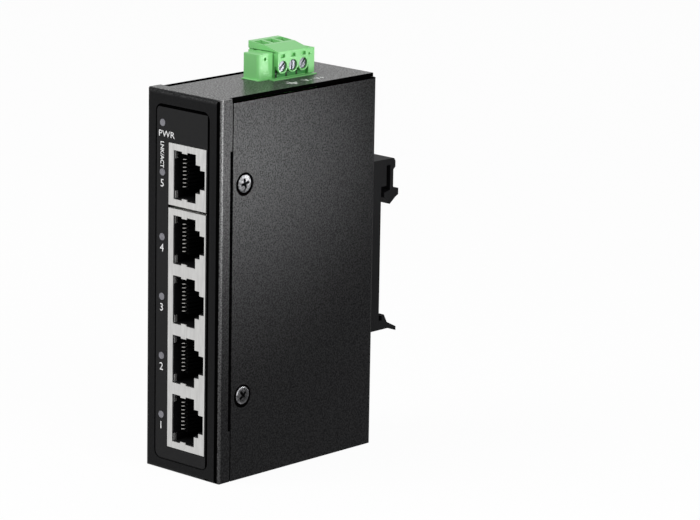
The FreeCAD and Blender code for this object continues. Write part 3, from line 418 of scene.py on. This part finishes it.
def contactFlash():
    # bright at the front bend, with painted shade where the strip runs back beside its comb
    look = contactFinish
    material, shader = startFinish("goldFlash", look["bright"], look["roughness"][0], metallic=1.0)
    polish = grain(material, look["polish"] * mm)
    wire(material, between(material, polish, *look["roughness"]), shader.inputs["Roughness"])
    # painted shade: from this depth back into the jack the strip goes near black
    back = inside(material, partPlace(material), {"Y": (contactBox[0].y + look["depth"] * mm, None)})
    mottle(material, back, look["bright"], look["dull"], shader.inputs["Base Color"], 0.0, 1.0)
    relief(material, shader, polish, look["height"] * mm)
    return material


terminalLook = {
    "color": (0.22, 0.62, 0.21),
    "roughness": 0.36,
    "roughSpan": (0.9, 1.12),
    "specular": 0.5,
    "grain": 0.35,
    "height": 0.004,
    "footDepth": (1.3, 0.5),
    "footRise": 0.3,
    "footShadeColor": (0.06, 0.30, 0.07),
    "notch": (-1.75, -1.05),  # across each pole
    "notchShadeColor": (0.003, 0.02, 0.003),
    "edge": 0.22,
    "edgeSamples": 6,
}


def terminalPlastic():
    # moulded green with softened edges, and painted shade in its foot recesses, darkest in a notch beside
    # each pole
    look = terminalLook
    material, shader = startFinish("terminalGreen", look["color"], look["roughness"],
                                   specular=look["specular"])
    place = partPlace(material)
    skin = grain(material, look["grain"] * mm, mouldLook["detail"])
    smooth, rough = (look["roughness"] * share for share in look["roughSpan"])
    wire(material, between(material, skin, smooth, rough), shader.inputs["Roughness"])
    footNear, footFar = (plugBox[1].x - depth * mm for depth in look["footDepth"])
    footHeights = (trayBox[1].z + look["footRise"] * mm, (clampBox[0].z + clampBox[1].z) / 2)
    # painted shade: the foot recess goes dark green, and near black in the notches
    foot = inside(material, place, {"X": (footNear, footFar), "Z": footHeights})
    notches = []
    for pole in poles:
        notches.append(inside(material, place, {"Y": tuple(pole + edge * mm for edge in look["notch"])}))
    notched = combined(material, "MULTIPLY", foot, allOf(material, "MAXIMUM", notches))
    shade = combined(material, "ADD", foot, notched)
    ramp = addNode(material, "ValToRGB")
    ramp.color_ramp.elements[0].color = (*look["color"], 1)
    ramp.color_ramp.elements[1].color = (*look["notchShadeColor"], 1)
    ramp.color_ramp.elements.new(0.5).color = (*look["footShadeColor"], 1)
    wire(material, between(material, shade, 0.0, 1.0, 0.0, 2.0), ramp.inputs["Fac"])
    wire(material, ramp.outputs["Color"], shader.inputs["Base Color"])
    softened = addNode(material, "Bevel", Radius=look["edge"] * mm)
    softened.samples = look["edgeSamples"]
    bump = relief(material, shader, skin, look["height"] * mm)
    wire(material, softened.outputs["Normal"], bump.inputs["Normal"])
    return material


finishes = {
    "case_paint": powderCoat(),
    "label_film": printedFilm(),
    "zinc_screw": screwNickel(),
    "jack_shield": sheetMetal("brightTin", (0.99, 0.985, 0.97), 0.42, height=0.001, streak=(0.97, 1.02)),
    "black_plastic": moulded("blackNylon", (0.0045, 0.0045, 0.005), 0.55, specular=0.1),
    "gold_contact": contactFlash(),
    "light_pipe": moulded("frostedAcrylic", (0.21, 0.208, 0.23), 0.4, surface=0.5),
    "lamp_chip": moulded("clearLamp", (0.8, 0.8, 0.74), 0.2),
    "circuit_board": moulded("greenSolderMask", (0.02, 0.12, 0.045), 0.35, surface=0.8),
    "brass_post": sheetMetal("turnedBrass", (0.72, 0.56, 0.28), 0.3),
    "chip_resin": moulded("chipResin", (0.018, 0.018, 0.02), 0.55),
    "aluminium_can": sheetMetal("drawnAluminium", (0.8, 0.8, 0.82), 0.3),
    "terminal_green": terminalPlastic(),
    "tinned_pin": sheetMetal("tinnedPin", (0.75, 0.75, 0.72), 0.28),
    "clamp_steel": sheetMetal("zincClamp", (0.22, 0.225, 0.25), 0.36),
}
printInk = whitePrint()
nodeSlots = {part["node"]: part["material_slot"] for part in frame["record"]["subparts"]}
for name, node in nodes.items():
    node.data.materials.clear()
    node.data.materials.append(finishes[nodeSlots[name]])
print("finishes on", len(nodes), "nodes")


# mesh helpers for the small pieces

def newPiece(name, mesh, slot, material=None, replaced=()):
    mesh.materials.clear()
    mesh.materials.append(material or finishes[slot])
    piece = bpy.data.objects.new(name, mesh)
    scene.collection.objects.link(piece)
    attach(piece, "root")
    if replaced:
        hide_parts(*replaced)


def addRing(mesh, points):
    return [mesh.verts.new(point) for point in points]


def joinRings(mesh, rings):
    # a closed skin over a row of rings with as many points each, capped at both ends
    for first, second in zip(rings, rings[1:]):
        count = len(first)
        for k in range(count):
            mesh.faces.new((first[k], first[(k + 1) % count], second[(k + 1) % count], second[k]))
    mesh.faces.new(rings[0])
    mesh.faces.new(rings[-1])
    bmesh.ops.recalc_face_normals(mesh, faces=mesh.faces)


def finished(mesh, name):
    data = bpy.data.meshes.new(name)
    mesh.to_mesh(data)
    mesh.free()
    return data


def turned(name, profile, steps=40):
    # a closed solid turned about X, from pairs of distance along the axis and radius
    mesh = bmesh.new()
    rings = []
    for along, radius in profile:
        angles = (math.tau * k / steps for k in range(steps))
        rings.append(addRing(mesh, [(along, radius * math.cos(a), radius * math.sin(a)) for a in angles]))
    joinRings(mesh, rings)
    return finished(mesh, name)


def slab(name, corners, low, high):
    # a flat plate with the given outline in XY, from low to high along Z
    mesh = bmesh.new()
    joinRings(mesh, [addRing(mesh, [(x, y, level) for x, y in corners]) for level in (low, high)])
    return finished(mesh, name)


def carved(solid, cutter):
    # the solid less the cutter, as a new mesh
    base = bpy.data.objects.new("blank", solid)
    tool = bpy.data.objects.new("tool", cutter)
    for item in (base, tool):
        scene.collection.objects.link(item)
    cut = base.modifiers.new("cut", "BOOLEAN")
    cut.operation = "DIFFERENCE"
    cut.solver = "EXACT"
    cut.object = tool
    result = bpy.data.meshes.new_from_object(base.evaluated_get(bpy.context.evaluated_depsgraph_get()))
    for item in (base, tool):
        bpy.data.objects.remove(item)
    return result


def merged(name, parts):
    # several meshes, each with the matrix that sets it in place, as one mesh
    mesh = bmesh.new()
    for part, matrix in parts:
        moved = part.copy()
        moved.transform(matrix)
        mesh.from_mesh(moved)
    return finished(mesh, name)


# case screws with a domed head and a tapered cross recess

caseScrew = {"head": 2.3, "shank": 1.4, "length": 2.8, "dome": 0.16, "rim": 0.12, "edge": 0.03, "tip": 0.3}
tipShare = 0.8
domeRings = 8
screwTurns = (12, 38, -20, 57)
driverTip = {"above": 0.4, "reach": 1.6, "half": 0.42, "depth": 1.3, "floorReach": 0.5, "floorHalf": 0.24}


def crossCutter():
    # a four-winged driver tip: wide at the face and narrow at its floor
    look = {key: value * mm for key, value in driverTip.items()}

    def corners(along, reach, half):
        wing = [(reach, -half), (reach, half), (half, half)]
        ring = []
        for k in range(4):
            turn = Matrix.Rotation(math.tau * k / 4, 2)
            ring += [(along, *(turn @ Vector(point))) for point in wing]
        return ring

    mesh = bmesh.new()
    above = addRing(mesh, corners(look["above"], look["reach"], look["half"]))
    floor = addRing(mesh, corners(-look["depth"], look["floorReach"], look["floorHalf"]))
    joinRings(mesh, [above, floor])
    return finished(mesh, "driverTip")


def domedScrew(turnedTo):
    # head facing +X, with the edge of its rim at zero
    look = {key: value * mm for key, value in caseScrew.items()}
    head, shank, edge = look["head"], look["shank"], look["edge"]
    profile = [(-look["length"], shank * tipShare), (-look["length"] + look["tip"], shank),
               (-(head - shank), shank), (-look["rim"], head - edge), (-edge, head)]
    for k in range(1, domeRings):
        share = k / domeRings
        profile.append((look["dome"] * (1 - (1 - share) ** 2), head * (1 - share)))
    screw = carved(turned("domedScrew", profile), crossCutter())
    screw.transform(Matrix.Rotation(math.radians(turnedTo), 4, "X"))
    return screw


def caseScrews():
    low, high = screwBox
    head = caseScrew["head"] * mm
    places = [(high.x, 0, high.z - head), (high.x, 0, low.z + head),
              (low.x, 180, high.z - head), (low.x, 180, low.z + head)]
    parts = []
    for turn, (side, facing, height) in zip(screwTurns, places):
        place = Matrix.Translation((side, (low.y + high.y) / 2, height))
        parts.append((domedScrew(turn), place @ Matrix.Rotation(math.radians(facing), 4, "Z")))
    newPiece("crossRecessScrews", merged("crossRecessScrews", parts), "zinc_screw", replaced=["case_screws"])


caseScrews()
print("case screws built")


# contact wires with rounded bends, and the moulded combs between them

contactLook = {
    "count": 8,
    "pitch": 1.02,
    "width": 0.27,
    "thickness": 0.2,
    "soft": 0.3,  # share of the thickness that the edges lose
    "bend": 0.12,
    "bendSteps": 4,
    "route": ((0.2, 8.5), (0.2, 1.6), (0.05, 0.1), (0.64, 0.66), (1.2, 2.4), (2.15, 6.2)),
}
combLook = {"rib": 0.56, "front": 1.0, "back": 8.4, "across": 1.5, "deepAcross": 2.28}


def rounded(route, bend, steps):
    # the route with every inner corner turned into a short curve
    points = [Vector(route[0])]
    for before, corner, after in zip(route, route[1:], route[2:]):
        corner, start, end = Vector(corner), Vector(before), Vector(after)
        near = corner + (start - corner).normalized() * bend
        far = corner + (end - corner).normalized() * bend
        for k in range(steps + 1):
            t = k / steps
            points.append(near * (1 - t) ** 2 + corner * 2 * t * (1 - t) + far * t ** 2)
    points.append(Vector(route[-1]))
    return points


def contactStrip():
    # a flat wire along its route in the XY plane, with its width along Z and softened edges
    look = contactLook
    points = rounded([(u * mm, v * mm) for u, v in look["route"]], look["bend"] * mm, look["bendSteps"])
    half, thin = look["width"] * mm / 2, look["thickness"] * mm / 2
    soft = look["thickness"] * mm * look["soft"]
    quarter = [(thin, half - soft), (thin - soft, half), (soft - thin, half), (-thin, half - soft)]
    section = quarter + [(-u, -v) for u, v in quarter]
    mesh = bmesh.new()
    rings = []
    for k, point in enumerate(points):
        ahead = points[min(k + 1, len(points) - 1)] - points[max(k - 1, 0)]
        across = Vector((ahead.y, -ahead.x)).normalized()
        rings.append(addRing(mesh, [(point.x + across.x * u, point.y + across.y * u, v) for u, v in section]))
    joinRings(mesh, rings)
    return finished(mesh, "contactWire")


def inRow(part, height, count):
    # copies of a part up one port, a contact's pitch apart
    row = []
    for step in range(count):
        rise = (step - (count - 1) / 2) * contactLook["pitch"] * mm
        row.append((part, Matrix.Translation((contactBox[0].x, contactBox[0].y, height + rise))))
    return row


def portContacts():
    strip = contactStrip()
    rows = [inRow(strip, height, contactLook["count"]) for height in portHeights]
    for block, ports in (("single", rows[gangCount:]), ("quad", rows[:gangCount])):
        name = block + "ContactWires"
        newPiece(name, merged(name, sum(ports, [])), "gold_contact", replaced=[block + "_jack_contacts"])


def contactCombs():
    look = {key: value * mm for key, value in combLook.items()}
    corners = [(0, look["front"]), (look["across"], look["front"]), (look["deepAcross"], look["back"]),
               (0, look["back"])]
    rib = slab("combRib", corners, -look["rib"] / 2, look["rib"] / 2)
    rows = [inRow(rib, height, contactLook["count"] + 1) for height in portHeights]
    newPiece("contactCombs", merged("contactCombs", sum(rows, [])), "black_plastic")


leafLook = {"thickness": 0.12, "near": 0.35, "far": 1.25, "low": 4.2, "high": 6.1}


def shieldLeaves():
    # small folded leaves of the shield in the corners of each port
    look = {key: value * mm for key, value in leafLook.items()}
    corners = [(0, look["near"]), (look["thickness"], look["near"]),
               (look["thickness"], look["far"]), (0, look["far"])]
    parts = []
    for height in portHeights:
        place = Matrix.Translation((contactBox[0].x, shellBox[0].y, height))
        for low, high in ((look["low"], look["high"]), (-look["high"], -look["low"])):
            parts.append((slab("shieldLeaf", corners, low, high), place))
    newPiece("shieldLeaves", merged("shieldLeaves", parts), "jack_shield")


portContacts()
contactCombs()
shieldLeaves()
print("jack details built")


# printed marks on the label and beside the power terminal

inkDepth = 0.02 * mm


def printWord(name, word, size, place, turn, widen=1.0, spread=0.03):
    font = bpy.data.curves.new(name, "FONT")
    font.body = word
    font.size = size * mm
    font.align_x = "CENTER"
    font.align_y = "CENTER"
    font.extrude = inkDepth / 2
    font.offset = spread * mm  # makes the strokes bolder
    font.resolution_u = 3
    source = bpy.data.objects.new(name + "Text", font)
    mesh = bpy.data.meshes.new_from_object(source)
    bpy.data.objects.remove(source)
    mesh.transform(Matrix.Translation(place) @ turn @ Matrix.Diagonal((widen, 1, 1, 1)))
    newPiece(name, mesh, "label_film", printInk)


labelPrint = {
    "power": {"word": "PWR", "size": 2.35, "across": -5.9, "height": 88.7, "widen": 1.16, "spread": 0.0},
    "link": {"word": "LNK/ACT", "size": 1.75, "across": -7.5, "height": 83.3, "widen": 0.95, "spread": 0.03},
    "number": {"size": 2.85, "across": -7.4, "drop": 2.95, "spread": 0.01},
}


def labelMarks():
    face = labelBox[0].y
    upright = Matrix.Rotation(math.radians(90), 4, "X")
    downwards = upright @ Matrix.Rotation(math.radians(-90), 4, "Z")
    for kind, turn in (("power", upright), ("link", downwards)):
        look = labelPrint[kind]
        place = (look["across"] * mm, face, look["height"] * mm)
        printWord(kind + "Mark", look["word"], look["size"], place, turn, look["widen"], look["spread"])
    look = labelPrint["number"]
    for number, height in enumerate(portHeights, start=1):
        place = (look["across"] * mm, face, height - look["drop"] * mm)
        printWord(f"portNumber{number}", str(number), look["size"], place, upright, spread=look["spread"])


topPrint = {"across": 7.7, "size": 3.0, "words": ("earth", "V-", "V+"), "forward": (2.0, -0.15, -0.8)}
earthLook = {"stem": 1.9, "stroke": 0.4, "bars": (3.6, 2.4, 1.2), "barGap": 0.75}


def earthMark(place, turn):
    # a stem above three shrinking bars
    stroke = earthLook["stroke"] * mm
    strokes = [(stroke, earthLook["stem"] * mm, 0.0)]
    for k, width in enumerate(earthLook["bars"]):
        middle = -k * earthLook["barGap"] * mm
        strokes.append((width * mm, middle + stroke / 2, middle - stroke / 2))
    parts = []
    for width, upper, lower in strokes:
        corners = [(-width / 2, lower), (width / 2, lower), (width / 2, upper), (-width / 2, upper)]
        bar = slab("earthBar", corners, -inkDepth / 2, inkDepth / 2)
        parts.append((bar, Matrix.Translation(place) @ turn))
    newPiece("earthMark", merged("earthMark", parts), "label_film", printInk)


def topMarks():
    # one mark beside each pole, read from the right side
    look = topPrint
    sideways = Matrix.Rotation(math.radians(90), 4, "Z")
    for number, (pole, word, forward) in enumerate(zip(poles, look["words"], look["forward"]), start=1):
        place = (look["across"] * mm, pole - forward * mm, trayBox[1].z)
        if word == "earth":
            earthMark(place, sideways)
        else:
            printWord(f"poleMark{number}", word, look["size"], place, sideways)


labelMarks()
topMarks()
print("marks printed")


# floor and backdrop: white to the camera, duller in reflections

floorLook = {"half": 4.0, "color": 0.8, "roughness": 0.9, "glow": 0.96, "mirrored": 0.52}
backdrop = {"seen": 1.0, "mirrored": 0.6, "lit": 0.3}


def rayMix(holder, share, plain, other):
    mix = addNode(holder, "MixShader")
    for socket, output in zip(mix.inputs, (share, plain, other)):
        wire(holder, output, socket)
    return mix.outputs[0]


def paleFloor():
    look = floorLook
    low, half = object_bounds()[0].z, look["half"]
    mesh = bpy.data.meshes.new("paleFloor")
    mesh.from_pydata([(-half, -half, low), (half, -half, low), (half, half, low), (-half, half, low)],
                     [], [(0, 1, 2, 3)])
    material, shader = startFinish("paleFloor", (look["color"],) * 3, look["roughness"], specular=0.0)
    rays = addNode(material, "LightPath").outputs
    white, dull = (addNode(material, "Emission", Strength=strength) for strength in (1.0, look["mirrored"]))
    toCamera = combined(material, "MULTIPLY", rays["Is Camera Ray"], look["glow"])
    surface = rayMix(material, toCamera, shader.outputs[0], white.outputs[0])
    surface = rayMix(material, rays["Is Glossy Ray"], surface, dull.outputs[0])
    wire(material, surface, material.node_tree.nodes["Material Output"].inputs["Surface"])
    mesh.materials.append(material)
    floor = bpy.data.objects.new("paleFloor", mesh)
    scene.collection.objects.link(floor)
    floor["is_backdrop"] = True


def paleWorld():
    world = bpy.data.worlds.new("paleStudio")
    world.use_nodes = True
    white = (1, 1, 1, 1)
    lit = world.node_tree.nodes["Background"]
    lit.inputs["Color"].default_value = white
    lit.inputs["Strength"].default_value = backdrop["lit"]
    rays = addNode(world, "LightPath").outputs
    surface = lit.outputs[0]
    for ray, strength in (("Is Glossy Ray", "mirrored"), ("Is Camera Ray", "seen"),
                          ("Is Transmission Ray", "seen")):
        other = addNode(world, "Background", Color=white, Strength=backdrop[strength])
        surface = rayMix(world, rays[ray], surface, other.outputs[0])
    wire(world, surface, world.node_tree.nodes["World Output"].inputs["Surface"])
    scene.world = world


paleFloor()
paleWorld()


# lamps, in metres and watts

lamps = {
    "keyLamp": {"place": (-0.30, -0.52, 0.62), "aim": (0, 0, 0.05), "size": 0.50, "power": 4.6},
    "backLamp": {"place": (-0.45, 0.50, 0.28), "aim": (0, 0, 0.09), "size": 0.40, "power": 0.25},
    "sideLamp": {"place": (0.16, 0.13, 0.07), "aim": (0.013, -0.055, 0.078), "size": 0.03, "power": 3.6,
                 "cone": 24},
    "fillLamp": {"place": (0.52, -0.06, 0.30), "aim": (0, 0, 0.08), "size": 0.26, "power": 1.5},
    "foldLamp": {"place": (0.36, 0.0, 0.05), "aim": (0.013, -0.034, 0.05), "size": 0.07, "power": 0.4},
}


def softLamp(name, place, aim, size, power, cone=None):
    light = bpy.data.lights.new(name, "SPOT" if cone else "AREA")
    light.energy = power
    if cone:
        light.spot_size = math.radians(cone)
        light.spot_blend = 1.0
        light.shadow_soft_size = size
    else:
        light.size = size
    lamp = bpy.data.objects.new(name, light)
    lamp.location = place
    lamp.rotation_euler = (Vector(place) - Vector(aim)).to_track_quat("Z", "Y").to_euler()
    lamp.visible_camera = False
    scene.collection.objects.link(lamp)


for name, lamp in lamps.items():
    softLamp(name, **lamp)


# camera: angles in degrees, distance away in metres, lens and aim in mm

view = {"azimuth": 43.05, "height": 13.35, "roll": 0.99, "away": 0.9973, "lens": 194.73, "sensor": 36,
        "aim": (9.07, 18.69, 50.03)}


def setCamera():
    turn, lift, roll = (math.radians(view[key]) for key in ("azimuth", "height", "roll"))
    back = Vector((math.sin(turn) * math.cos(lift), -math.cos(turn) * math.cos(lift), math.sin(lift)))
    right = Vector((0, 0, 1)).cross(back).normalized()
    axes = Matrix((right, back.cross(right), back)).transposed() @ Matrix.Rotation(roll, 3, "Z")
    lens = bpy.data.cameras.new("camera")
    lens.lens = view["lens"]
    lens.sensor_width = view["sensor"]
    lens.clip_start = 0.01
    camera = bpy.data.objects.new("camera", lens)
    camera.matrix_world = Matrix.Translation(Vector(view["aim"]) * mm + back * view["away"]) @ axes.to_4x4()
    scene.collection.objects.link(camera)
    scene.camera = camera


setCamera()
scene.view_settings.view_transform = "Standard"
print("floor, light and camera set")
